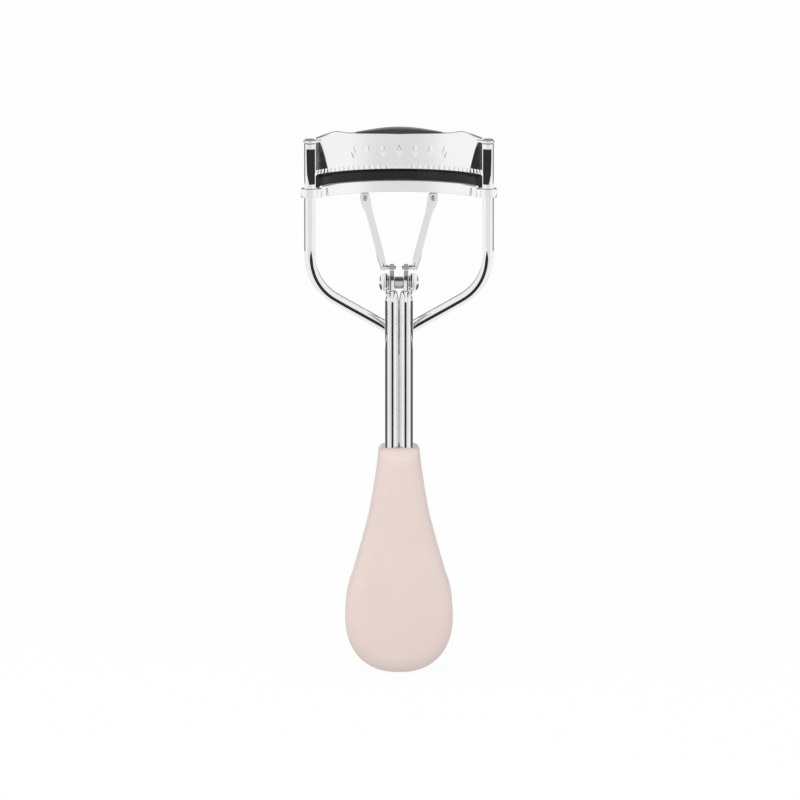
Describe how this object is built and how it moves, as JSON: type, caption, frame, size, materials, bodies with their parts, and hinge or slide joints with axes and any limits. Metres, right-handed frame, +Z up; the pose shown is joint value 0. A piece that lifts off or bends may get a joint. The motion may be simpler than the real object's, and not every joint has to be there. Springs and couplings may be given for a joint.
{
  "type": "eyelash curler",
  "caption": "Hand-held eyelash curler: chrome wire frame, fixed upper jaw, sliding lower jaw with a black pad, and pale pink teardrop grips.",
  "frame": {"origin": "bottom of the grips, midway across the width and midway between the outermost front and back", "axes": "+Z up along the stem from the grips to the jaws, +X to the right seen from the front, -Y towards the front grip, whose handle swings forwards"},
  "size_m": [0.039, 0.0182, 0.1077],
  "materials": {
    "chrome": "polished",
    "steel": "satin",
    "pink_plastic": "satin",
    "silicone": "matt"
  },
  "bodies": {
    "frame": {"upper_jaw": "chrome", "frame_wire_left": "chrome", "frame_wire_right": "chrome", "rail_rivet_left": "steel", "rail_rivet_right": "steel", "pivot_bracket": "chrome", "pivot_pin": "steel", "pivot_spacer": "steel", "pivot_washer_left": "steel", "pivot_washer_right": "steel", "pivot_cap_left": "chrome", "pivot_cap_right": "chrome", "rear_grip": "pink_plastic"},
    "front_handle": {"front_grip": "pink_plastic", "front_rod_left": "chrome", "front_rod_right": "chrome", "lever_pin_left": "steel", "lever_pin_right": "steel"},
    "link_left": {"link_arm_left": "chrome"},
    "link_right": {"link_arm_right": "chrome"},
    "lower_jaw_body": {"lower_jaw": "chrome", "silicone_pad": "silicone", "jaw_rivet_left": "steel", "jaw_rivet_right": "steel"}
  },
  "joints": [
    {"name": "handle_hinge", "type": "hinge", "parent": "frame", "child": "front_handle", "pos_m": [0, -0.0031, 0.0778], "axis": [-1, 0, 0], "range_deg": [0, 40]},
    {"name": "jaw_slide", "type": "slide", "parent": "frame", "child": "lower_jaw_body", "axis": [0, 0, -1], "range_m": [0, 0.0063]},
    {"name": "link_hinge_left", "type": "hinge", "parent": "front_handle", "child": "link_left", "pos_m": [0, 0.0059, 0.07964], "axis": [1, 0, 0], "range_deg": [0, 38]},
    {"name": "link_hinge_right", "type": "hinge", "parent": "front_handle", "child": "link_right", "pos_m": [0, 0.0059, 0.07964], "axis": [1, 0, 0], "range_deg": [0, 38]}
  ],
  "couplings": [
    {"joint": "jaw_slide", "follows": "handle_hinge", "m_per_rad": 0.00896},
    {"joint": "link_hinge_left", "follows": "handle_hinge", "ratio": 0.945},
    {"joint": "link_hinge_right", "follows": "handle_hinge", "ratio": 0.945}
  ]
}
